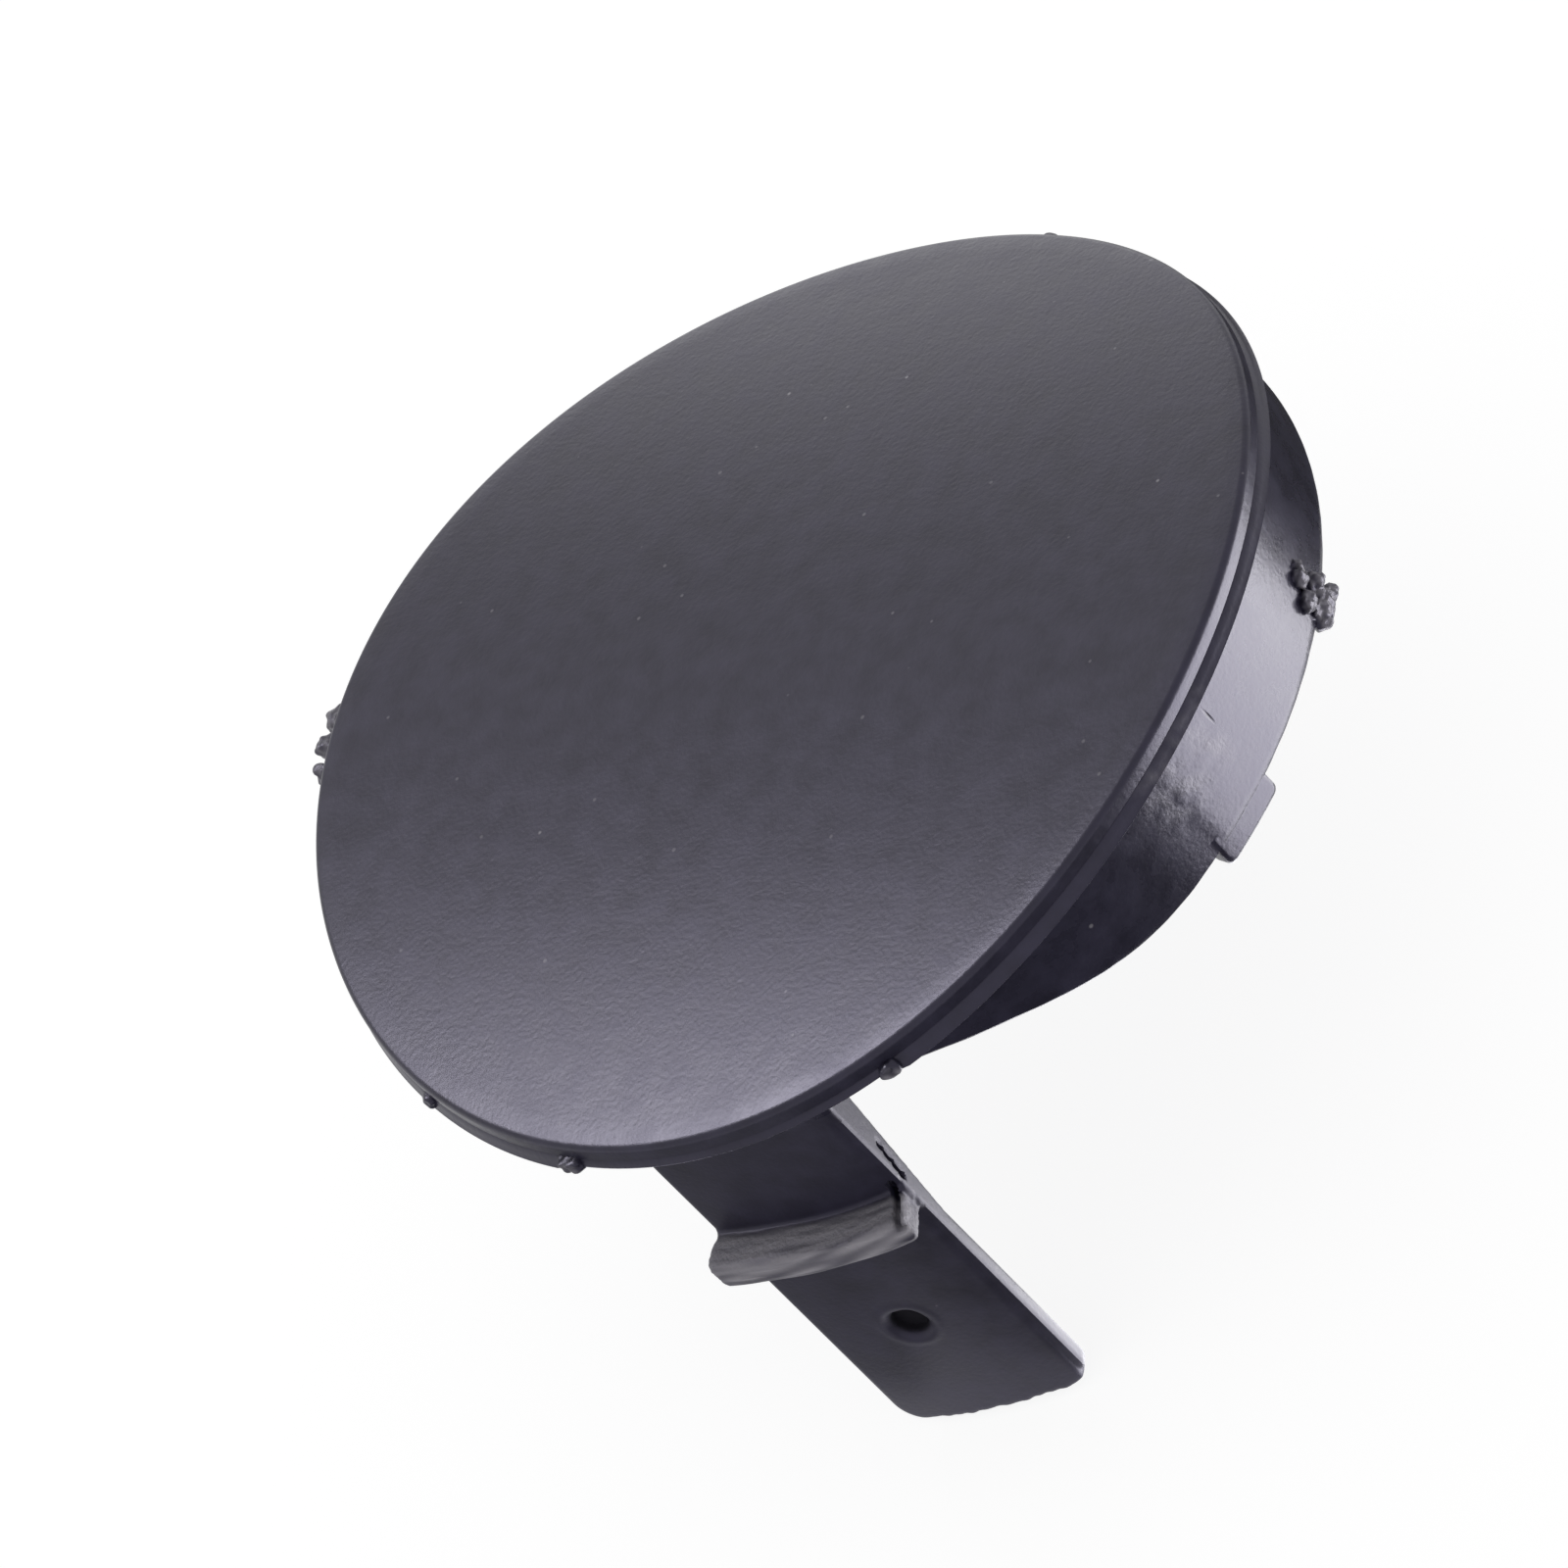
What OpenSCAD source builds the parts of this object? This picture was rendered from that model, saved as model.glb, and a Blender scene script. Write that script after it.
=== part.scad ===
// Tow hook cover: one moulding, a bowed round face with a skirt behind it and a long strap.
// The origin is on the skirt's axis, on the plane through the lowest points of the rim's back.
// +Z points out of the face, and the face bows about the X axis.

/* [Face] */
// Diameter of the round face
face_d = 70; // [60:1:80]
// Radius of the face's bow, highest along X and falling away to both sides
bow_r = 143; // [110:1:400]
// Thickness of the moulded plate at its rim
plate_t = 2.2; // [1.8:0.1:3]

/* [Rim] */
// Height of the plain edge between the face and the lip
edge_h = 1.25; // [0.8:0.05:1.5]
// How far the lip stands out past the edge
lip_proud = 0.35; // [0.1:0.05:0.8]
// How much of the lip's back is missing beside the strap
lip_relief = 0.5; // [0.2:0.05:0.8]
// Angle where the missing stretch of the lip begins
relief_from = 260; // [256:1:262]
// Angle where the missing stretch of the lip ends
relief_to = 303; // [300:1:308]

/* [Skirt] */
// How far the skirt is set in from the edge of the face
skirt_inset = 0.9; // [0.6:0.1:3]
// Thickness of the skirt's wall
skirt_t = 1.5; // [1.2:0.1:2.5]
// Depth of the skirt behind the origin's plane
skirt_depth = 4.5; // [3:0.1:8]
// Distance from the centre to where the skirt's edge begins to rise
ramp_start = 13.3; // [10:0.1:18]
// Radius of the skirt's edge where it begins to rise
ramp_r = 20; // [12:1:30]
// Steepness of the ramp that ends the skirt beside the strap
ramp_angle = 26; // [20:1:35]

/* [Tab] */
// Angle of the tab's middle on the skirt
tab_angle = -12.6; // [-30:0.1:30]
// Width of the tab
tab_w = 6; // [3:0.1:10]
// Height of the tab past the skirt's edge
tab_h = 1.5; // [0.8:0.1:3]

/* [Strap] */
// Angle of the strap's middle round the face
strap_angle = -78.8; // [-82:0.1:-76]
// Width of the strap
strap_w = 14.4; // [11:0.1:16]
// Thickness of the strap
strap_t = 1.4; // [1.2:0.1:2]
// Length of the strap behind the origin's plane
strap_len = 30; // [26:0.5:45]
// Thickness of the strap and its wedge where they leave the plate
root_t = 3.1; // [2.5:0.1:4.5]
// Depth at which the wedge runs out
wedge_len = 13; // [11.5:0.5:15]
// Radius of the rounded corner at the strap's end
tip_r = 2.2; // [1:0.1:3.5]
// Size of the broken corner at the strap's end
tip_chip = 1.3; // [0.6:0.1:2]

/* [Stop] */
// Depth of the stop's front face
stop_z = 8.4; // [8:0.1:9]
// Length of the stop along the strap
stop_t = 2.2; // [1.6:0.1:2.6]
// Height of the stop above the strap
stop_h = 2.8; // [1.5:0.1:4]
// Rounding of the stop's long outer edges
stop_edge = 0.4; // [0.2:0.05:0.7]
// Rounding of the stop's worn outer corner
stop_corner = 0.9; // [0.4:0.1:1.6]

/* [Slit] */
// Depth at which the slit beside the wedge begins
slit_z = 5.2; // [4.5:0.1:6]
// Width of the slit at its open end
slit_w = 0.35; // [0.2:0.05:0.5]
// How far the slit leans out of the strap's back into the strap
slit_lean = 0.4; // [0.3:0.05:0.6]
// How far the slit is cut into the strap's side
slit_cut = 1.1; // [0.6:0.1:3]

/* [Hole] */
// Depth of the hole in the strap
hole_z = 20.4; // [17:0.1:23]
// Diameter of the hole
hole_d = 2.2; // [1.8:0.1:4]
// Diameter of the hole's flared mouth
mouth_d = 3; // [2.8:0.1:5]
// Depth of the hole's flared mouth
mouth_depth = 0.4; // [0.2:0.05:0.6]

/* [Hidden] */

// Smoothness of curved walls, of the shallow bow, of small rounds and of the hole
round_fn = 240;
bow_fn = 1440;
small_fn = 32;
hole_fn = 48;

// Least height of lip that is left where part of it is missing
lip_left = 0.3;
// Flats that make up the curve where the skirt's edge begins to rise
ramp_steps = 12;
// Overlap that fuses one feature into the next
fuse = 0.5;
// Length that reaches past the whole part in any direction
reach = 200;

face_r = face_d / 2;
lip_r = face_r + lip_proud;
skirt_r = face_r - skirt_inset;
skirt_in_r = skirt_r - skirt_t;
// Fall of the bowed surface at the lip, and the height of the face's crest above the origin
bow_sag = bow_r - sqrt(bow_r * bow_r - lip_r * lip_r);
crest_z = plate_t + bow_sag;
// Depth under the face at which the lip stops where part of it is missing
relief_drop = max(plate_t - lip_relief, edge_h + lip_left);
strap_in_r = skirt_r - strap_t;
root_in_r = skirt_r - root_t;
stop_r = skirt_r + stop_h;

// Nubs left on the rim where the moulding was cut free: angle, how far out, and width
rim_nubs = [
    [183, 0.9, 1.3],
    [187.3, 0.8, 0.9],
    [191, 0.6, 0.7],
    [81.6, 0.6, 0.8],
    [260.5, 0.5, 1.1],
    [235.5, 0.3, 0.8],
    [302, 0.4, 1.2]
];
// Thickness of the nubs, and how deep they are let into the lip
nub_t = 0.7;
nub_let_in = 0.6;
// Worn points of the strap's end: share of its width from the left, and height over the end
tip_wear = [[0.3, 0.25], [0.45, 0.1], [0.6, 0.3], [0.8, 0.25]];
chip_rise = 0.45;
// Broken stub on the skirt: its angle, then the turn, height over the edge and width of each lump
stub_angle = 14;
stub_sink = 0.1;
stub_lumps = [
    [-1.2, 2.8, 1.1],
    [0.6, 1.6, 1.3],
    [-0.6, 0.4, 1.2]
];

// Everything below the bowed surface that lies drop under the face
module under_bow(drop) {
    translate([0, 0, crest_z - drop - bow_r])
        rotate([0, 90, 0])
            cylinder(r = bow_r, h = reach, center = true, $fn = bow_fn);
}

// A round of radius r whose top follows the bow
module bowed_round(r, drop) {
    intersection() {
        translate([0, 0, -fuse])
            cylinder(r = r, h = crest_z + 2 * fuse, $fn = round_fn);
        under_bow(drop);
    }
}

// Pie slice between two angles, taller than the part
module slice(from, to) {
    mid = (from + to) / 2;
    translate([0, 0, -reach / 2])
        linear_extrude(height = reach)
            polygon([
                [0, 0],
                [reach * cos(from), reach * sin(from)],
                [reach * cos(mid) / cos((to - from) / 2), reach * sin(mid) / cos((to - from) / 2)],
                [reach * cos(to), reach * sin(to)]
            ]);
}

// Stretch of the lip whose back is missing
module lip_gap() {
    difference() {
        intersection() {
            slice(relief_from, relief_to);
            under_bow(relief_drop);
        }
        translate([0, 0, -reach / 2])
            cylinder(r = (face_r + skirt_r) / 2, h = reach, $fn = round_fn);
    }
}

module plate() {
    difference() {
        union() {
            bowed_round(face_r, 0);
            bowed_round(lip_r, edge_h);
        }
        under_bow(plate_t);
        lip_gap();
    }
}

// Side view, in Y and Z, of the space that the skirt may fill: level, then a curve, then a ramp
module skirt_side() {
    curve = [
        for (i = [0 : ramp_steps])
            let (a = ramp_angle * i / ramp_steps)
                [-ramp_start - ramp_r * sin(a), -skirt_depth + ramp_r * (1 - cos(a))]
    ];
    rise = curve[ramp_steps];
    polygon(concat(
        [[face_d, -skirt_depth]],
        curve,
        [
            [-face_d, rise[1] + (rise[0] + face_d) * tan(ramp_angle)],
            [-face_d, reach],
            [face_d, reach]
        ]
    ));
}

module skirt() {
    difference() {
        intersection() {
            translate([0, 0, -skirt_depth])
                cylinder(r = skirt_r, h = skirt_depth + crest_z, $fn = round_fn);
            rotate([90, 0, 90])
                translate([0, 0, -reach / 2])
                    linear_extrude(height = reach)
                        skirt_side();
            under_bow(plate_t - fuse);
        }
        translate([0, 0, -reach / 2])
            cylinder(r = skirt_in_r, h = reach, $fn = round_fn);
    }
}

module tab() {
    intersection() {
        rotate([0, 0, tab_angle])
            translate([0, -tab_w / 2, -skirt_depth - tab_h])
                cube([reach, tab_w, tab_h + fuse]);
        difference() {
            translate([0, 0, -skirt_depth - tab_h])
                cylinder(r = skirt_r, h = tab_h + fuse, $fn = round_fn);
            translate([0, 0, -reach / 2])
                cylinder(r = skirt_in_r, h = reach, $fn = round_fn);
        }
    }
}

// Section of the strap with its wedge, which is turned about the axis
module strap_section() {
    polygon([
        [skirt_r, crest_z],
        [skirt_r, -strap_len - fuse],
        [strap_in_r, -strap_len - fuse],
        [strap_in_r, -wedge_len],
        [root_in_r, 0],
        [root_in_r, crest_z]
    ]);
}

// Section of the stop, with its long outer edges rounded
module stop_section() {
    low_z = -stop_z - stop_t;
    translate([skirt_r - fuse, low_z])
        square([stop_h + fuse - stop_edge, stop_t]);
    translate([skirt_r, low_z + stop_edge])
        square([stop_h, stop_t - 2 * stop_edge]);
    for (z = [-stop_z - stop_edge, low_z + stop_edge])
        translate([stop_r - stop_edge, z])
            circle(r = stop_edge, $fn = small_fn);
}

// View of the strap from outside, across it and along it, with its worn end
module strap_outline() {
    half = strap_w / 2;
    polygon([
        [-half, reach],
        [-half, -strap_len + tip_r],
        [-half + tip_r, -strap_len],
        for (worn = tip_wear)
            [-half + worn[0] * strap_w, -strap_len + worn[1]],
        [half - tip_chip, -strap_len + chip_rise],
        [half, -strap_len + chip_rise + tip_chip],
        [half, reach]
    ]);
    intersection() {
        translate([-half + tip_r, -strap_len + tip_r])
            circle(r = tip_r, $fn = small_fn);
        translate([-half, -strap_len])
            square([tip_r, tip_r]);
    }
}

// View of the stop from above, out along X and across it, with its worn corner rounded
module stop_plan() {
    half = strap_w / 2;
    corner_y = -half + stop_corner;
    corner_x = sqrt(pow(stop_r - stop_corner, 2) - corner_y * corner_y);
    translate([0, -half])
        square([corner_x, strap_w]);
    translate([corner_x, corner_y])
        circle(r = stop_corner, $fn = small_fn);
    polygon([
        [0, 0],
        [reach, reach * corner_y / corner_x],
        [reach, half],
        [0, half]
    ]);
}

module strap_blank() {
    intersection() {
        rotate_extrude($fn = round_fn)
            strap_section();
        rotate([0, 0, strap_angle])
            rotate([90, 0, 90])
                linear_extrude(height = reach)
                    strap_outline();
        under_bow(plate_t - fuse);
    }
}

module stop() {
    intersection() {
        rotate_extrude($fn = round_fn)
            stop_section();
        rotate([0, 0, strap_angle])
            translate([0, 0, -reach / 2])
                linear_extrude(height = reach)
                    stop_plan();
    }
}

// Narrow slit between the strap and its wedge, in one side
module slit() {
    end_r = strap_in_r + slit_lean;
    intersection() {
        rotate_extrude($fn = round_fn)
            polygon([
                [strap_in_r, -slit_z],
                [end_r, -stop_z],
                [end_r - slit_w, -stop_z]
            ]);
        rotate([0, 0, strap_angle])
            translate([0, strap_w / 2 - slit_cut, -reach / 2])
                cube([reach, slit_cut + fuse, reach]);
    }
}

// Hole through the strap, along X before it is turned to the strap's angle
module hole() {
    flare_r = mouth_d / 2 + (mouth_d - hole_d) / 2 * fuse / mouth_depth;
    rotate([0, 0, strap_angle])
        translate([0, 0, -hole_z])
            rotate([0, 90, 0])
                rotate_extrude($fn = hole_fn)
                    polygon([
                        [0, root_in_r - fuse],
                        [hole_d / 2, root_in_r - fuse],
                        [hole_d / 2, skirt_r - mouth_depth],
                        [flare_r, skirt_r + fuse],
                        [0, skirt_r + fuse]
                    ]);
}

// Height of the bowed surface at a point of the rim
function rim_z(angle) = crest_z - bow_r + sqrt(bow_r * bow_r - pow(lip_r * sin(angle), 2));

module rim_nub(angle, proud, width) {
    rotate([0, 0, angle])
        translate([lip_r - nub_let_in, -width / 2, rim_z(angle) - edge_h - nub_t])
            cube([nub_let_in + proud, width, nub_t]);
}

module stub() {
    for (lump = stub_lumps)
        rotate([0, 0, stub_angle + lump[0]])
            translate([skirt_r - stub_sink, 0, lump[1] - skirt_depth])
                sphere(d = lump[2], $fn = small_fn);
}

module strap() {
    difference() {
        strap_blank();
        slit();
        hole();
    }
    stop();
}

module tow_hook_cover() {
    color([0.2, 0.2, 0.22]) {
        plate();
        skirt();
        tab();
        strap();
        for (nub = rim_nubs)
            rim_nub(nub[0], nub[1], nub[2]);
        stub();
    }
}

tow_hook_cover();
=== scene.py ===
import math

import bmesh
import bpy
import numpy as np
from mathutils import Matrix, Vector


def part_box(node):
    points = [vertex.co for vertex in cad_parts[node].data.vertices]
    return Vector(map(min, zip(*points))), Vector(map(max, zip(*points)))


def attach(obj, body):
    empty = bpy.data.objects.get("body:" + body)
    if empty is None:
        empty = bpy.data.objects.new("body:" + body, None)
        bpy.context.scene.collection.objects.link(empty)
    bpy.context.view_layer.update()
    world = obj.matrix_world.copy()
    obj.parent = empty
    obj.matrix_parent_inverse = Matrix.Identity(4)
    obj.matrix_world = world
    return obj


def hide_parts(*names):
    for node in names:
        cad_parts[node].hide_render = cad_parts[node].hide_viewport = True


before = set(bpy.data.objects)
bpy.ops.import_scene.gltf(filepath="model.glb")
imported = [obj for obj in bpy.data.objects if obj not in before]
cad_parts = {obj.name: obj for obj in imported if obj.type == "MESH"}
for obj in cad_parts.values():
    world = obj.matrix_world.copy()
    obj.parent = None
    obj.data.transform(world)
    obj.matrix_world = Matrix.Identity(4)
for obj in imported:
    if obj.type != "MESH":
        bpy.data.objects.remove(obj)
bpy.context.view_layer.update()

NODE = "tow_hook_cover"
MM = 0.001


# Sizes of the moulding in millimetres, in the frame of the CAD.
BOX_LOW, BOX_HIGH = (np.array(corner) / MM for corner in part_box(NODE))
CREST_Z = BOX_HIGH[2]
BOW_R = 143.0
FACE_R = 35.0
PLATE_T = 2.2
EDGE_ROUND = 0.45
EDGE_H = 1.25
LIP_PROUD = 0.35
LIP_RELIEF = 0.5
RELIEF_FROM, RELIEF_TO = 260.0, 303.0
WALL_R = 34.1
WALL_T = 1.5
WALL_END_Z = -4.46
RAMP_START, RAMP_R, RAMP_ANGLE = 13.3, 20.0, 26.0
CREASE_ANGLE = -16.4

STRAP_ANGLE = -78.8
STRAP_HALF_W = 7.2
STRAP_T = 1.4
STRAP_TOP_Z = 1.6
STRAP_TIP_Z = -30.05
ROOT_T = 3.1
WEDGE_FROM, WEDGE_TO = -0.9, -13.0
STOP_LOW, STOP_HIGH = -10.56, -8.36
STOP_R = 36.9
HOLE_ANGLE, HOLE_Z, HOLE_R = -79.4, -20.4, 1.1
SLIT_LOW, SLIT_HIGH = -8.4, -5.2
TAB_ANGLE, TAB_HALF_W, TAB_END_Z = -12.6, 3.0, -6.0
STUB_ANGLE = 13.8

# Small pale specks on the face, by x and y, and a scratch on the skirt.
FACE_SPECKS = [(1.2, 21.7), (-8.2, 21.2), (33.2, 10.7), (26.6, 10.6), (32.8, -15.9), (-13.5, -13.0)]
SPECK_R = 0.15
SKIRT_SCRATCH = ((33.82, -4.75, 2.1), (0.35, 0.13, 0.85))

# Where the moulding was cut free: angle, how far it stands past the lip, width.
RIM_NUBS = [
    (183.3, 1.5, 1.7), (186.6, 1.7, 1.4), (190.1, 1.2, 1.0), (82.6, 0.6, 0.9),
    (238.8, 0.2, 1.2), (261.3, 0.3, 1.9), (302.4, 0.3, 1.5),
]

PLASTIC_COLOR = (0.0195, 0.0178, 0.0335, 1)
# Pale colour for worn and torn plastic and specks, also used for the painted highlight on the stop's
# face.
WEAR_AND_SHEEN_COLOR = (0.3, 0.288, 0.312, 1)

COLUMNS = 420
STEP = 0.19


def bow_z(y):
    return CREST_Z - BOW_R + np.sqrt(BOW_R**2 - y**2)


def bump_between(x, low, high, soft):
    rise = np.clip((x - low) / soft + 0.5, 0, 1)
    fall = np.clip((high - x) / soft + 0.5, 0, 1)
    both = rise * fall
    return both * both * (3 - 2 * both)


def waves(points, size, seed, count=7):
    """Smooth noise of about -1 to 1 with features of the given size."""
    rng = np.random.default_rng(seed)
    total = 0.0
    for _ in range(count):
        way = rng.normal(size=3)
        way *= rng.uniform(0.7, 1.5) / np.linalg.norm(way)
        phase = rng.uniform(0, 2 * math.pi)
        total = total + np.sin((points @ way) * 2 * math.pi / size + phase)
    return total / count * 1.6


def ramp_z(y):
    """Height of the skirt's rear edge: level, then an arc, then a straight ramp."""
    turn = math.radians(RAMP_ANGLE)
    back = np.maximum(-y - RAMP_START, 0)
    arc_len = RAMP_R * math.sin(turn)
    on_arc = RAMP_R - np.sqrt(RAMP_R**2 - np.minimum(back, arc_len) ** 2)
    return WALL_END_Z + on_arc + np.maximum(back - arc_len, 0) * math.tan(turn)


def wall_radius(degrees, z):
    """The skirt's outer radius, a little sunk beside the crease and uneven there."""
    away = np.maximum(CREASE_ANGLE - degrees, 0)
    sunk = 0.1 * (1 - np.exp(-away / 1.2)) * np.exp(-away / 8)
    patch = bump_between(degrees, -21, -8, 5) * bump_between(z, -1.2, 5.2, 2)
    spot = np.stack([degrees * 0.6, z, z * 0], axis=-1)
    return WALL_R - sunk + 0.035 * patch * waves(spot, 1.6, 3)


def body_rows(angle):
    """Rows of the cap from the crest of the face to the middle of its back."""
    degrees = (np.degrees(angle) + 180) % 360 - 180
    around = np.ones_like(angle)
    sine = np.sin(angle)
    relief = bump_between(np.degrees(angle), RELIEF_FROM, RELIEF_TO, 2.5)
    rows = []

    def front(r, drop):
        r = r * around
        rows.append((r, bow_z(r * sine) - drop))

    for r in np.linspace(0, FACE_R - EDGE_ROUND, 26)[1:]:
        front(r, 0)
    for turn in np.linspace(0, math.pi / 2, 7)[1:]:
        front(FACE_R - EDGE_ROUND * (1 - math.sin(turn)), EDGE_ROUND * (1 - math.cos(turn)))
    front(FACE_R, 0.85)
    front(FACE_R, EDGE_H - 0.08)
    front(FACE_R - 0.09, EDGE_H)
    front(FACE_R, EDGE_H + 0.08)
    lip_drop = PLATE_T - LIP_RELIEF * relief
    lip_r = FACE_R + LIP_PROUD - 0.12 * relief
    for share in (0.5, 0.85):
        front(FACE_R + (lip_r - FACE_R) * share, EDGE_H + (lip_drop - EDGE_H) * share)
    front(lip_r, lip_drop - 0.07)
    front(lip_r - 0.07, lip_drop)
    front(lip_r - 0.45, lip_drop + 0.02)
    front(WALL_R + 0.25, PLATE_T + 0.03)

    low = np.minimum(ramp_z(WALL_R * sine), bow_z(WALL_R * sine) - PLATE_T - 0.1)
    rough = np.stack([degrees * 0.6, low * 0, low * 0], axis=-1)
    low = low + 0.03 * waves(rough, 2.5, 5)
    high = bow_z(WALL_R * sine) - PLATE_T - 0.05
    tall = high - low
    soft = np.minimum(0.2, tall / 3)
    for share in np.linspace(0, 1, 20):
        z = high - share * (tall - soft)
        fillet = 0.2 * np.clip(1 - (high - z) / 0.3, 0, 1) ** 2 * (tall > 0.3)
        rows.append((wall_radius(degrees, z) + fillet, z))
    rows.append((WALL_R - 0.06 - 0 * low, low + soft * 0.3))
    rows.append((WALL_R - 0.2 - 0 * low, low))
    inner = WALL_R - WALL_T
    rows.append((inner + 0.15 + 0 * low, low))
    rows.append((inner + 0 * low, low + soft * 0.5))
    top = bow_z(inner * sine) - PLATE_T
    for share in (0.35, 0.7, 0.94):
        rows.append((inner + 0 * low, low + soft * 0.5 + share * (top - low - soft * 0.5)))
    for r in (inner - 0.25, 31.5, 28.0, 22.0, 15.0, 8.0):
        front(r, PLATE_T)
    return rows


def body_mesh():
    angle = np.linspace(0, 2 * math.pi, COLUMNS, endpoint=False)
    rows = body_rows(angle)
    rings = [np.stack([r * np.cos(angle), r * np.sin(angle), z], axis=1) for r, z in rows]
    crest = [0, 0, bow_z(0.0)]
    back = [0, 0, bow_z(0.0) - PLATE_T]
    points = np.vstack([[crest]] + rings + [[back]])
    here = np.arange(COLUMNS)
    after = (here + 1) % COLUMNS
    faces = [(0, 1 + a, 1 + b) for a, b in zip(here, after)]
    for row in range(len(rows) - 1):
        near, far = 1 + row * COLUMNS, 1 + (row + 1) * COLUMNS
        faces += [(near + a, far + a, far + b, near + b) for a, b in zip(here, after)]
    last, end = 1 + (len(rows) - 1) * COLUMNS, len(points) - 1
    faces += [(last + b, last + a, end) for a, b in zip(here, after)]
    return points, faces


def soft_max(a, b, k):
    near = np.maximum(k - np.abs(a - b), 0) / k
    return np.maximum(a, b) + near * near * k / 4


def soft_min(a, b, k):
    return -soft_max(-a, -b, k)


def net(shape, low, high, step):
    """Mesh of the surface where shape is zero, its points drawn onto that surface."""
    axes = [np.arange(a, b + step, step) for a, b in zip(low, high)]
    grid = np.stack(np.meshgrid(*axes, indexing="ij"), axis=-1)
    value = shape(grid)
    counts = np.array(value.shape) - 1
    total = np.zeros((*counts, 3))
    hits = np.zeros(counts)
    corner = [slice(0, -1), slice(1, None)]
    for axis in range(3):
        others = [a for a in range(3) if a != axis]
        for first in (0, 1):
            for second in (0, 1):
                pick = [None] * 3
                pick[others[0]], pick[others[1]] = corner[first], corner[second]
                start, stop = list(pick), list(pick)
                start[axis], stop[axis] = corner[0], corner[1]
                a, b = value[tuple(start)], value[tuple(stop)]
                cross = (a < 0) != (b < 0)
                share = np.where(cross, a / np.where(cross, a - b, 1), 0)[..., None]
                pa, pb = grid[tuple(start)], grid[tuple(stop)]
                total += np.where(cross[..., None], pa + (pb - pa) * share, 0)
                hits += cross
    used = hits > 0
    index = np.full(counts, -1)
    index[used] = np.arange(used.sum())
    points = total[used] / hits[used][:, None]
    tiny = 0.02
    for _ in range(4):
        here = shape(points)
        slope = np.stack([
            (shape(points + tiny * way) - shape(points - tiny * way)) / (2 * tiny)
            for way in np.eye(3)
        ], axis=1)
        move = here[:, None] * slope / np.maximum((slope**2).sum(1), 0.2)[:, None]
        points = points - np.clip(move, -0.3 * step, 0.3 * step)
    faces = []
    inside = value < 0
    for axis in range(3):
        u, v = [(1, 2), (2, 0), (0, 1)][axis]
        near = np.take(inside, range(0, counts[axis]), axis)
        far = np.take(inside, range(1, counts[axis] + 1), axis)
        for flip, change in ((False, near & ~far), (True, ~near & far)):
            spots = np.argwhere(change)
            keep = (spots[:, u] > 0) & (spots[:, v] > 0)
            keep &= (spots[:, u] < counts[u]) & (spots[:, v] < counts[v])
            spots = spots[keep]
            quad = []
            for du, dv in ((1, 1), (0, 1), (0, 0), (1, 0)):
                cell = spots.copy()
                cell[:, u] -= du
                cell[:, v] -= dv
                quad.append(index[tuple(cell.T)])
            quad = np.stack(quad[::-1] if flip else quad, axis=1)
            faces += quad.tolist()
    return points, faces


def wrapped(points, faces, degrees):
    """From (arc length, radius, height) about one angle into the frame."""
    angle = math.radians(degrees) + points[:, 0] / WALL_R
    r = points[:, 1]
    # Arc length, radius and height are left-handed in that order, so faces turn round.
    placed = np.stack([r * np.cos(angle), r * np.sin(angle), points[:, 2]], axis=1)
    return placed, [face[::-1] for face in faces]


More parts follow.
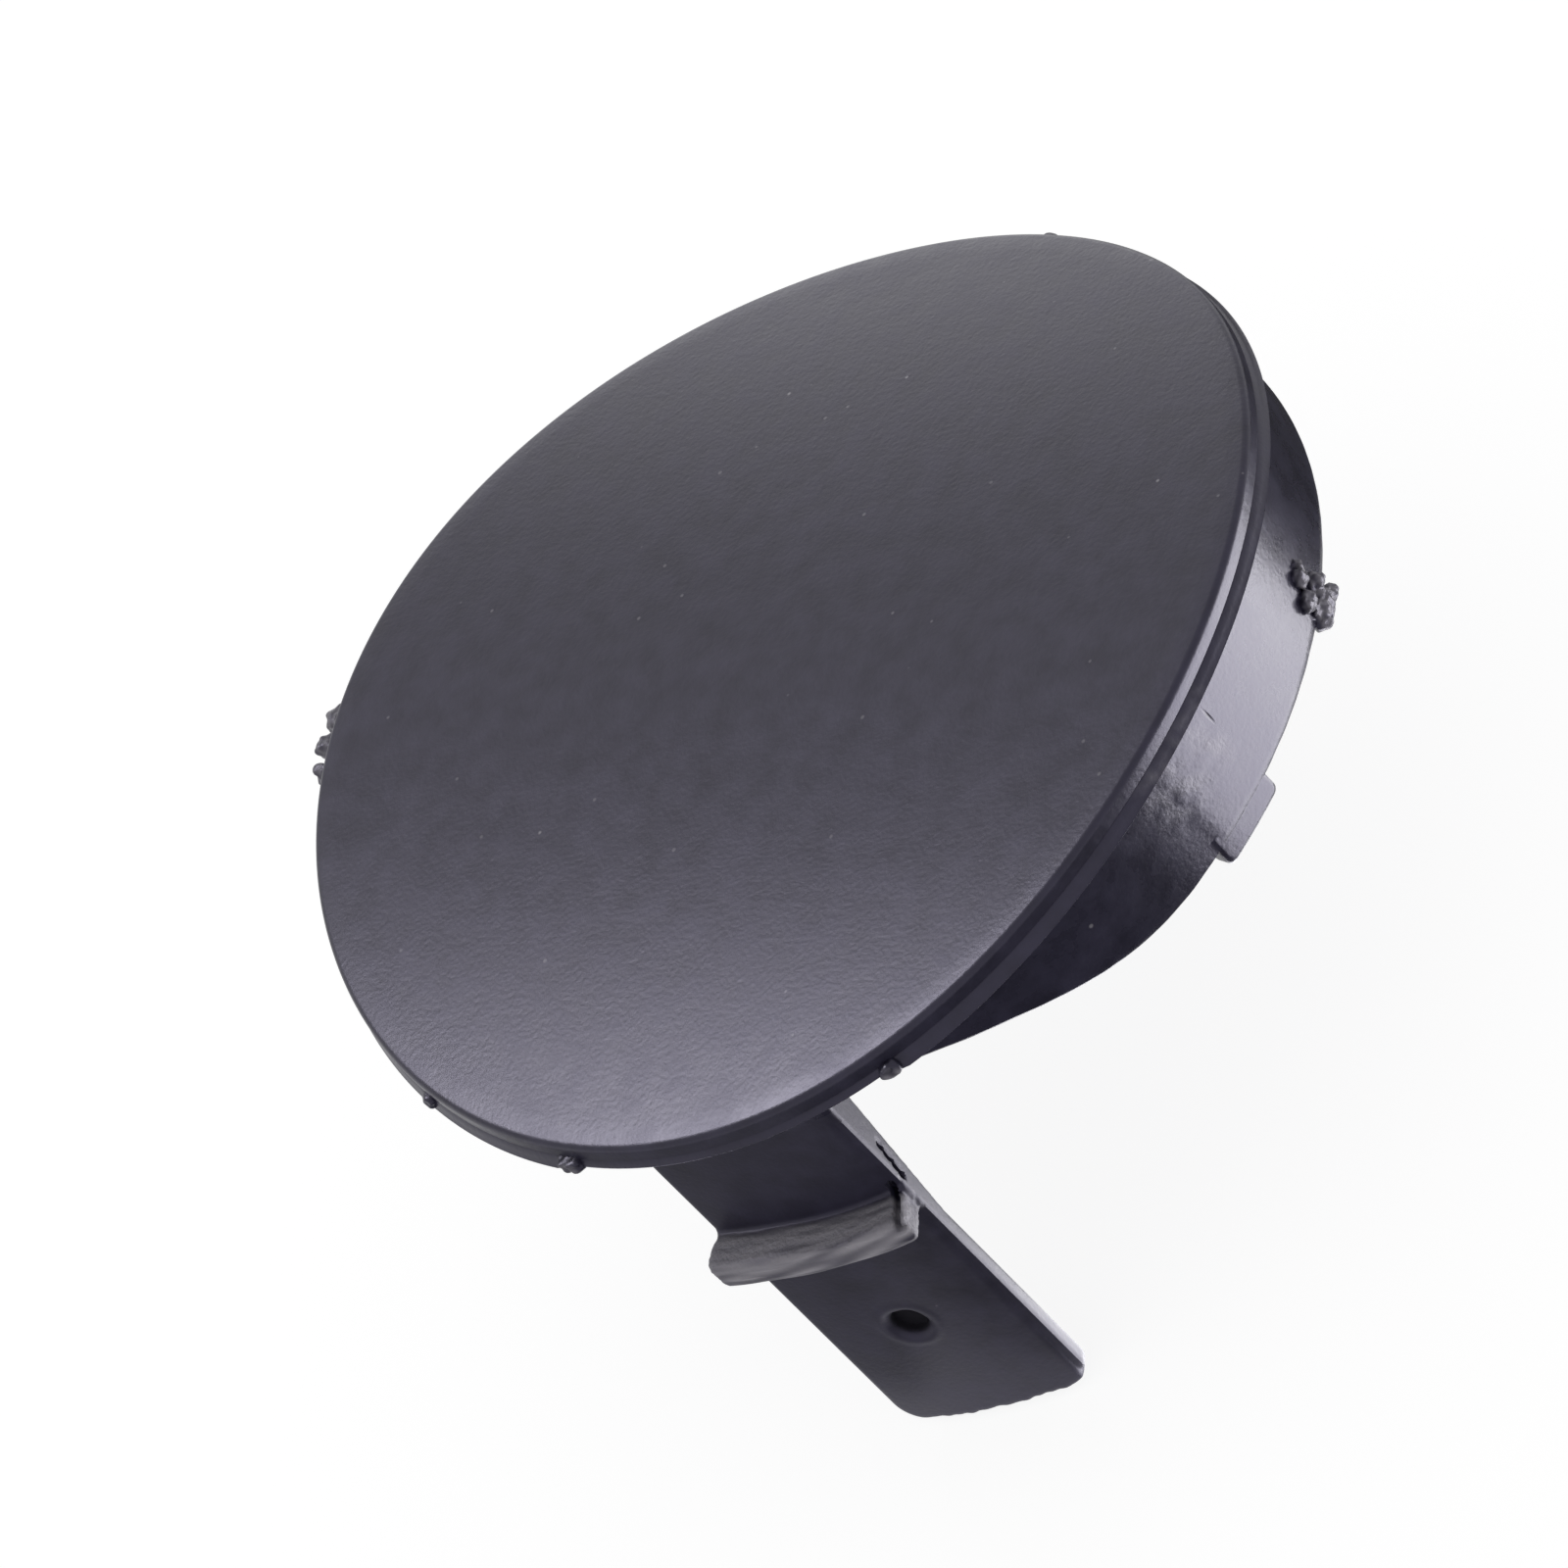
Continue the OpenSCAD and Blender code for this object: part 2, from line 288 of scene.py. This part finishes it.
def strap_shape(p):
    s, r, z = p[..., 0], p[..., 1], p[..., 2]
    along = np.stack([s, z * 0, z * 0], axis=-1)
    tip = STRAP_TIP_Z - 0.35 + 0.14 * waves(along, 2.6, 11) + 0.08 * waves(along, 0.9, 12)
    outline = soft_max(np.abs(s) - STRAP_HALF_W, tip - z, 0.3)
    corner_r = 1.9
    corner_s, corner_z = corner_r - STRAP_HALF_W, STRAP_TIP_Z - 0.35 + corner_r
    in_corner = (s < corner_s) & (z < corner_z)
    rounded = np.hypot(s - corner_s, z - corner_z) - corner_r
    outline = np.where(in_corner, np.maximum(outline, rounded), outline)
    chamfer = ((s - STRAP_HALF_W) - (z - STRAP_TIP_Z) * 0.75 + 0.7) / 1.25
    outline = soft_max(outline, chamfer, 0.25)
    outline = np.maximum(outline, z - STRAP_TOP_Z)
    share = np.clip((z - WEDGE_TO) / (WEDGE_FROM - WEDGE_TO), 0, 1)
    thick = STRAP_T + (ROOT_T - STRAP_T) * share
    body = soft_max(outline, r - WALL_R, 0.45)
    body = soft_max(body, WALL_R - thick - r, 0.25)

    # A fine groove runs down the front beside the right edge.
    groove = 0.14 * np.exp(-((s - 6.75) / 0.2) ** 2) * np.clip(-z - 0.5, 0, 1) * (r > WALL_R - 0.5)
    body = body + groove

    streak = np.stack([s * 0.1, r, z], axis=-1)
    grain = 0.06 * waves(streak, 0.9, 21) + 0.05 * waves(streak, 0.5, 22)
    middle, half = (STOP_LOW + STOP_HIGH) / 2, (STOP_HIGH - STOP_LOW) / 2
    rib = soft_max(np.abs(z - middle + 0.1 * np.sin(s * 0.5)) - half, r - STOP_R - grain, 0.6)
    left = -(s + STRAP_HALF_W) * 0.85 + (r - STOP_R + 0.7) * 0.5
    rib = soft_max(rib, np.maximum(-s - STRAP_HALF_W, left), 0.5)
    rib = soft_max(rib, s - STRAP_HALF_W + 0.25, 0.5)
    rib = np.maximum(rib, WALL_R - 0.8 - r) - grain * 0.6
    body = soft_min(body, rib, 0.35)

    hole_s = math.radians(HOLE_ANGLE - STRAP_ANGLE) * WALL_R
    away = np.hypot(s - hole_s, z - HOLE_Z)
    uneven = 0.08 * waves(p, 1.7, 31)
    depth = WALL_R - r
    mouth = 0.45 * np.clip(1 - depth / 0.5, 0, 1) ** 1.5
    hole = HOLE_R + 0.1 + mouth * (1 + uneven * 3) - away
    body = soft_max(body, hole, 0.12)
    # A web of flash is left across the far end of the hole, on its lower side.
    lower = (hole_s - s) * 0.65 + (HOLE_Z - z) * 0.76
    web = np.maximum(np.maximum(away - HOLE_R - 0.3, -0.3 - lower), np.abs(depth - STRAP_T + 0.25) - 0.24)
    body = np.minimum(body, web)
    ring = np.exp(-((away - 1.95) / 0.22) ** 2) * np.exp(-(depth / 0.3) ** 2)
    body = body - 0.05 * ring

    lean = np.clip((z - SLIT_LOW) / (SLIT_HIGH - SLIT_LOW), 0, 1)
    gap = np.abs(r - (33.35 - 0.6 * lean)) - 0.26 * (1 - 0.35 * lean)
    slit = np.maximum(np.maximum(gap, STRAP_HALF_W - 1.1 - s), np.maximum(z - SLIT_HIGH, SLIT_LOW - z))
    notch = np.maximum(np.abs(s - 6.45) - 0.2, np.maximum(np.abs(z + 8.3) - 0.75, 33.5 - r))
    body = np.maximum(body, -np.minimum(slit, notch))
    return body


def tab_shape(p):
    s, r, z = p[..., 0], p[..., 1], p[..., 2]
    sides = soft_max(np.abs(s) - TAB_HALF_W, TAB_END_Z - z, 0.5)
    sides = np.maximum(sides, z - WALL_END_Z - 1.2)
    return soft_max(sides, np.abs(r - WALL_R + WALL_T / 2) - WALL_T / 2 + 0.01, 0.3)


def lump(p, middle, half):
    scaled = (p - np.array(middle)) / np.array(half)
    size = np.sqrt((scaled**2).sum(-1))
    return (size - 1) * min(half)


def stub_shape(p):
    """What is left of a broken-off lug: a cluster of torn lumps on the skirt."""
    lumps = [
        ((0.0, 34.0, -4.4), (1.3, 0.95, 1.2)), ((-0.9, 34.1, -2.9), (0.8, 0.8, 0.7)),
        ((0.9, 34.2, -3.2), (0.7, 0.8, 0.6)), ((0.1, 34.1, -1.7), (0.7, 0.7, 0.7)),
        ((1.2, 34.1, -4.9), (0.6, 0.9, 0.6)), ((-1.0, 34.1, -4.8), (0.6, 0.7, 0.6)),
        ((0.8, 34.0, -1.3), (0.4, 0.6, 0.4)),
    ]
    total = lump(p, *lumps[0])
    for middle, half in lumps[1:]:
        total = soft_min(total, lump(p, middle, half), 0.12)
    return total + 0.12 * waves(p, 0.9, 41) + 0.06 * waves(p, 0.45, 42)


def nub_shape(proud, width, base_z):
    tall = 0.75 if proud > 1 else 0.55

    def shape(p):
        reach = (FACE_R + LIP_PROUD + proud - 34.4) / 2
        middle = (0, 34.4 + reach, base_z)
        scaled = np.abs((p - np.array(middle)) / np.array((width / 2, reach, tall)))
        size = (scaled**3).sum(-1) ** (1 / 3)
        return (size - 1) * min(width / 2, reach, tall) + 0.09 * waves(p, 0.8, int(width * 50))

    return shape


def mesh_object(name, points, faces):
    mesh = bpy.data.meshes.new(name)
    mesh.from_pydata((np.asarray(points) * MM).tolist(), [], faces)
    mesh.validate()
    tidy = bmesh.new()
    tidy.from_mesh(mesh)
    bmesh.ops.recalc_face_normals(tidy, faces=tidy.faces)
    tidy.to_mesh(mesh)
    tidy.free()
    made = bpy.data.objects.new(name, mesh)
    bpy.context.scene.collection.objects.link(made)
    return made


def detail_meshes():
    strap = net(strap_shape, (-8, 30.4, -31), (8, 37.8, 2.2), STEP)
    yield wrapped(*strap, STRAP_ANGLE)
    tab = net(tab_shape, (-4, 32, -6.6), (4, 34.8, -2.6), STEP)
    yield wrapped(*tab, TAB_ANGLE)
    yield wrapped(*net(stub_shape, (-2.6, 32.6, -6.4), (2.6, 35.8, 0), 0.13), STUB_ANGLE)
    for degrees, proud, width in RIM_NUBS:
        y = FACE_R * math.sin(math.radians(degrees))
        base_z = float(bow_z(y)) - 1.65
        low = (-width, 33.9, base_z - 1.1)
        high = (width, FACE_R + LIP_PROUD + proud + 0.5, base_z + 1.1)
        yield wrapped(*net(nub_shape(proud, width, base_z), low, high, 0.11), degrees)


def unite(body, other):
    union = body.modifiers.new("union", "BOOLEAN")
    union.operation = "UNION"
    union.solver = "MANIFOLD"
    union.object = other
    view = bpy.context.evaluated_depsgraph_get()
    mesh = bpy.data.meshes.new_from_object(body.evaluated_get(view))
    body.modifiers.remove(union)
    if len(mesh.polygons) >= len(body.data.polygons):
        body.data = mesh
    bpy.data.objects.remove(other)


def add_attribute(mesh, name, values):
    layer = mesh.attributes.new(name, "FLOAT", "POINT")
    layer.data.foreach_set("value", np.asarray(values, dtype=np.float32))


def mark_regions(mesh):
    """Per point: pale worn and torn plastic, with a painted highlight on the stop's face; the smooth
    skirt; and painted shade inside the hole.
    """
    flat = np.empty(len(mesh.vertices) * 3)
    mesh.vertices.foreach_get("co", flat)
    p = flat.reshape(-1, 3) / MM
    r = np.hypot(p[:, 0], p[:, 1])
    degrees = np.degrees(np.arctan2(p[:, 1], p[:, 0]))
    z = p[:, 2]
    s = np.radians(degrees - STRAP_ANGLE) * WALL_R
    on_strap = (np.abs(s) < 8) & (r > 30.5) & (z < -0.3)
    on_stop = on_strap * bump_between(z, -10.9, -8.1, 0.4) * np.clip((r - 34.3) / 0.5, 0, 1)
    streak = np.stack([s * 0.15, r, z], axis=1)
    # Painted highlight: the stop's face is made paler, in streaks and lighter towards its top, as light
    # falls on it.
    worn = on_stop * np.clip(0.62 + 0.5 * waves(streak, 0.7, 51) + (z + 9.4) * 0.28, 0, 1)
    patch = bump_between(degrees, -20, -8, 3) * bump_between(z, -1, 5, 1.2) * (r > 33.9)
    worn = np.maximum(worn, 0.35 * patch * np.clip(0.4 + waves(p, 1.1, 52), 0, 1))
    hole_s = math.radians(HOLE_ANGLE - STRAP_ANGLE) * WALL_R
    away = np.hypot(s - hole_s, z - HOLE_Z)
    # Painted shade: this marks the inside of the hole, where the colour is darkened.
    deep = on_strap * np.clip((1.5 - away) / 0.3, 0, 1) * np.clip((WALL_R - 0.15 - r) / 0.25, 0, 1)
    wall = (r > 33) * (z < bow_z(np.clip(p[:, 1], -36, 36)) - PLATE_T + 0.02) * (1 - on_strap)
    stub = (np.abs(degrees - STUB_ANGLE) < 5) * np.clip((r - 34.2) / 0.2, 0, 1) * (z < 0)
    torn = np.maximum(stub, np.clip((r - 35.5) / 0.2, 0, 1) * (z > -0.8) * (1 - on_strap))
    worn = np.maximum(worn, torn * np.clip(0.45 + 0.4 * waves(p, 0.8, 53), 0, 1))
    add_attribute(mesh, "worn", worn)
    add_attribute(mesh, "deep", deep)
    add_attribute(mesh, "wall", wall)
    add_attribute(mesh, "strap", on_strap)


class Nodes:
    """Adds and links nodes of one material with little text."""

    def __init__(self, material):
        material.use_nodes = True
        self.tree = material.node_tree
        self.tree.nodes.clear()

    def add(self, kind, inputs=(), **settings):
        node = self.tree.nodes.new("ShaderNode" + kind)
        for name, value in settings.items():
            setattr(node, name, value)
        for name, value in dict(inputs).items():
            if isinstance(value, bpy.types.NodeSocket):
                self.tree.links.new(value, node.inputs[name])
            else:
                node.inputs[name].default_value = value
        return node

    def math(self, operation, a, b):
        return self.add("Math", {0: a, 1: b}, operation=operation).outputs[0]

    def noise(self, where, size_mm, detail=2.0, rough=0.5):
        facts = {"Vector": where, "Scale": 1 / (size_mm * MM), "Detail": detail, "Roughness": rough}
        return self.add("TexNoise", facts).outputs["Fac"]

    def spread(self, value, low, high, to_low, to_high):
        facts = {"Value": value, "From Min": low, "From Max": high, "To Min": to_low, "To Max": to_high}
        return self.add("MapRange", facts).outputs["Result"]

    def spot(self, where, middle, half):
        """One inside an ellipsoid given in millimetres, zero outside."""
        away = self.add("VectorMath", {0: where, 1: Vector(middle) * MM}, operation="SUBTRACT")
        scale = [1 / (h * MM) for h in half]
        scaled = self.add("VectorMath", {0: away.outputs[0], 1: scale}, operation="MULTIPLY")
        size = self.add("VectorMath", {0: scaled.outputs[0]}, operation="LENGTH")
        return self.spread(size.outputs["Value"], 0.3, 1.1, 1, 0)

    def attribute(self, name):
        return self.add("Attribute", attribute_name=name).outputs["Fac"]


def plastic():
    """Black moulded plastic with a fine grain, faint mottling, specks and worn places, a painted
    highlight on the stop's face and painted shade inside the hole.
    """
    material = bpy.data.materials.new("black_plastic")
    n = Nodes(material)
    where = n.add("TexCoord").outputs["Object"]
    worn, deep, wall = n.attribute("worn"), n.attribute("deep"), n.attribute("wall")
    strap = n.attribute("strap")
    fine = n.noise(where, 0.34, 2)
    blotch = n.noise(where, 2.2, 3, 0.6)
    broad = n.noise(where, 11, 2)
    dots = n.add("TexVoronoi", {"Vector": where, "Scale": 1 / (3.2 * MM)}, feature="F1")
    speck = n.spread(dots.outputs["Distance"], 0.03, 0.055, 1, 0)
    speck = n.math("MULTIPLY", speck, 0.45)
    for x, y in FACE_SPECKS:
        z = float(bow_z(y))
        speck = n.math("MAXIMUM", speck, n.spot(where, (x, y, z), (SPECK_R,) * 3))
    scratch = n.spot(where, *SKIRT_SCRATCH)

    tone = n.spread(blotch, 0.3, 0.7, 0.72, 1.28)
    tone = n.math("MULTIPLY", tone, n.spread(broad, 0.3, 0.7, 0.9, 1.1))
    # Painted shade: the colour goes nearly black inside the hole.
    tone = n.math("MULTIPLY", tone, n.spread(deep, 0, 1, 1, 0.05))
    tone = n.math("MULTIPLY", tone, n.spread(scratch, 0, 1, 1, 0.2))
    base = n.add("Mix", {0: tone}, data_type="RGBA", clamp_factor=False)
    base.inputs[6].default_value = (0, 0, 0, 1)
    base.inputs[7].default_value = PLASTIC_COLOR
    # Pale: wear, torn ends, specks and the painted highlight on the stop's face.
    pale = n.math("MAXIMUM", n.math("MULTIPLY", worn, 0.9), n.math("MULTIPLY", speck, 0.9))
    mixed = n.add("Mix", {0: pale, 6: base.outputs[2]}, data_type="RGBA")
    mixed.inputs[7].default_value = WEAR_AND_SHEEN_COLOR

    rough = n.spread(blotch, 0.3, 0.7, 0.32, 0.38)
    rough = n.math("SUBTRACT", rough, n.math("MULTIPLY", wall, 0.07))
    rough = n.math("ADD", rough, n.math("MULTIPLY", strap, 0.1))
    rough = n.math("ADD", rough, n.math("MULTIPLY", worn, 0.25))
    rough = n.math("ADD", rough, n.math("MULTIPLY", deep, 0.4))

    height = n.math("MULTIPLY", fine, 0.5)
    height = n.math("ADD", height, n.math("MULTIPLY", blotch, 0.5))
    height = n.math("ADD", height, n.math("MULTIPLY", n.math("MULTIPLY", worn, fine), 3.0))
    height = n.math("SUBTRACT", height, n.math("MULTIPLY", scratch, 1.2))
    bump = n.add("Bump", {"Height": height, "Strength": 0.75, "Distance": 0.045 * MM})
    shader = n.add("BsdfPrincipled", {
        "Base Color": mixed.outputs[2], "Roughness": rough, "Normal": bump.outputs["Normal"], "IOR": 1.48,
        "Specular Tint": (0.84, 0.8, 1.0, 1),
    })
    out = n.add("OutputMaterial")
    n.tree.links.new(shader.outputs["BSDF"], out.inputs["Surface"])
    return material


def make_cover():
    cover = mesh_object("moulded_cover", *body_mesh())
    for number, (points, faces) in enumerate(detail_meshes()):
        unite(cover, mesh_object("detail_%d" % number, points, faces))
    cover.data.shade_smooth()
    cover.data.set_sharp_from_angle(angle=math.radians(48))
    mark_regions(cover.data)
    cover.data.materials.clear()
    cover.data.materials.append(plastic())
    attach(cover, "root")
    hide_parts(NODE)
    return cover


def glow(name, strength, fade=0.0):
    """A lit card; fade softens its edge, as a share of its half size."""
    material = bpy.data.materials.new(name)
    n = Nodes(material)
    light = n.add("Emission", {"Color": (1, 1, 1, 1), "Strength": strength})
    if fade:
        spot = n.add("TexCoord").outputs["UV"]
        middle = n.add("VectorMath", {0: spot, 1: (0.5, 0.5, 0)}, operation="DISTANCE")
        share = n.spread(middle.outputs["Value"], 0.5 * (1 - fade), 0.5, 1, 0)
        clear = n.add("BsdfTransparent")
        mix = n.add("MixShader", {0: share})
        n.tree.links.new(clear.outputs[0], mix.inputs[1])
        n.tree.links.new(light.outputs[0], mix.inputs[2])
        light = mix
    out = n.add("OutputMaterial")
    n.tree.links.new(light.outputs[0], out.inputs["Surface"])
    return material


def card_only_in_gloss(card, with_diffuse=False):
    card.visible_camera = False
    card.visible_shadow = False
    card.visible_transmission = False
    card.visible_diffuse = with_diffuse


def direction(azimuth, elevation):
    az, el = math.radians(azimuth), math.radians(elevation)
    return Vector((math.cos(el) * math.cos(az), math.cos(el) * math.sin(az), math.sin(el)))


def softbox(name, azimuth, elevation, half_angle, strength, with_diffuse):
    distance = 0.5
    half = distance * math.tan(math.radians(half_angle))
    mesh = bpy.data.meshes.new(name)
    corners = [(-half, -half, 0), (half, -half, 0), (half, half, 0), (-half, half, 0)]
    mesh.from_pydata(corners, [], [(0, 1, 2, 3)])
    mesh.uv_layers.new(name="UVMap").data.foreach_set("uv", [0, 0, 1, 0, 1, 1, 0, 1])
    card = bpy.data.objects.new(name, mesh)
    bpy.context.scene.collection.objects.link(card)
    way = direction(azimuth, elevation)
    card.location = way * distance
    card.rotation_euler = way.to_track_quat("Z", "Y").to_euler()
    mesh.materials.append(glow(name, strength, 0.8))
    card_only_in_gloss(card, with_diffuse)


def floor_card(name, outline, strength):
    """A flat card just above the floor that only shows in gloss; outline in mm."""
    mesh = bpy.data.meshes.new(name)
    height = (BOX_LOW[2] - 0.9) * MM
    mesh.from_pydata([(x * MM, y * MM, height) for x, y in outline], [], [tuple(range(len(outline)))])
    card = bpy.data.objects.new(name, mesh)
    bpy.context.scene.collection.objects.link(card)
    mesh.materials.append(glow(name, strength))
    card_only_in_gloss(card)


def make_floor():
    material = bpy.data.materials.new("pale_floor")
    n = Nodes(material)
    matte = n.add("BsdfDiffuse", {"Color": (0.3, 0.3, 0.3, 1)})
    light = n.add("Emission", {"Color": (1, 1, 1, 1), "Strength": 0.86})
    both = n.add("AddShader", {0: matte.outputs[0], 1: light.outputs[0]})
    out = n.add("OutputMaterial")
    n.tree.links.new(both.outputs[0], out.inputs["Surface"])
    mesh = bpy.data.meshes.new("floor")
    reach, height = 3.0, (BOX_LOW[2] - 1.0) * MM
    mesh.from_pydata([(-reach, -reach, height), (reach, -reach, height), (reach, reach, height),
                      (-reach, reach, height)], [], [(0, 1, 2, 3)])
    mesh.materials.append(material)
    floor = bpy.data.objects.new("floor", mesh)
    bpy.context.scene.collection.objects.link(floor)


def make_world():
    world = bpy.data.worlds.new("studio")
    bpy.context.scene.world = world
    world.use_nodes = True
    tree = world.node_tree
    tree.nodes.clear()
    path = tree.nodes.new("ShaderNodeLightPath")
    seen = path.outputs["Is Camera Ray"]
    for name in ("Is Glossy Ray", "Is Transmission Ray"):
        either = tree.nodes.new("ShaderNodeMath")
        either.operation = "MAXIMUM"
        tree.links.new(seen, either.inputs[0])
        tree.links.new(path.outputs[name], either.inputs[1])
        seen = either.outputs[0]
    level = tree.nodes.new("ShaderNodeMapRange")
    level.inputs["To Min"].default_value = 0.6
    level.inputs["To Max"].default_value = 1.0
    tree.links.new(seen, level.inputs["Value"])
    shade = tree.nodes.new("ShaderNodeBackground")
    tree.links.new(level.outputs["Result"], shade.inputs["Strength"])
    out = tree.nodes.new("ShaderNodeOutputWorld")
    tree.links.new(shade.outputs[0], out.inputs["Surface"])


def make_lights():
    softbox("softbox_low", 130, 7, 24, 2.6, True)
    softbox("softbox_high", 191, 56, 18, 19.0, False)
    floor_card("card_bright", [(50, -8.4), (130, -3.1), (130, 95), (76, 84), (48, 36), (46, 12)], 8.5)
    floor_card("card_side", [(14, -33), (36, -18), (40, 4), (22, 4), (10, -24)], 7.0)
    floor_card("card_far", [(47.5, 37), (75, 85), (20, 120), (-40, 90), (0, 44)], 0.05)
    floor_card("card_dark", [(37, -18.5), (49.5, -8.8), (130, -3.6), (130, -140), (0, -140), (2, -45),
                             (15, -34)], 0.04)
    floor_card("card_grey", [(-0.5, -45), (-2, -140), (-110, -140), (-60, -36), (0, -37)], 0.3)


def make_camera():
    """The camera that was fitted to the rim of the face in the photograph."""
    seen = np.array([
        [0.77096, 0.32274, -0.54906], [-0.05525, -0.82495, -0.5625], [-0.63449, 0.46399, -0.61817],
    ])
    offset = np.array([-1.065, -8.746, 859.059])
    left, _, right = np.linalg.svd(seen)
    turn = left @ right
    place = -turn.T @ offset + np.array([0, 0, 6.638])
    facing = (np.diag([1, -1, -1]) @ turn).T
    data = bpy.data.cameras.new("camera")
    data.sensor_width = 36
    data.lens = 315
    data.clip_start = 0.01
    camera = bpy.data.objects.new("camera", data)
    bpy.context.scene.collection.objects.link(camera)
    camera.matrix_world = Matrix.Translation(Vector(place * MM)) @ Matrix(facing.tolist()).to_4x4()
    bpy.context.scene.camera = camera


make_cover()
make_floor()
make_world()
make_lights()
make_camera()
bpy.context.scene.view_settings.view_transform = "Standard"
